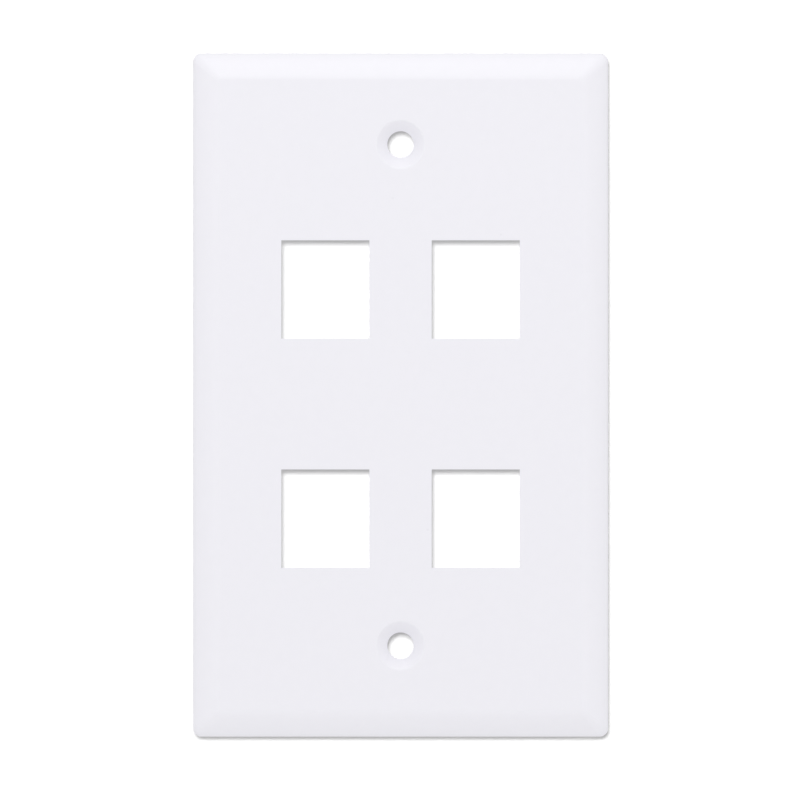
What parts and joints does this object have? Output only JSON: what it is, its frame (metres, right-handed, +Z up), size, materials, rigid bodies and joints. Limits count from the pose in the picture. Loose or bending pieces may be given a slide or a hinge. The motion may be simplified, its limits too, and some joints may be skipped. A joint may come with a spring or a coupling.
{
  "type": "keystone faceplate",
  "caption": "Upright moulded wall plate with a bevelled rim, rectangular keystone ports in rows and columns, and countersunk screw holes above and below them.",
  "frame": {"origin": "in the wall plane, at the rear edge of the rim, midway between the two screw holes", "axes": "+Z up along the line of the two screws, +Y into the wall, so the front face looks towards -Y, and +X to the right of someone facing the plate"},
  "size_m": [0.069, 0.01, 0.1136],
  "materials": {
    "moulded_plastic": "smooth satin white, as moulded"
  },
  "bodies": {
    "root": {"faceplate": "moulded_plastic"}
  },
  "joints": []
}
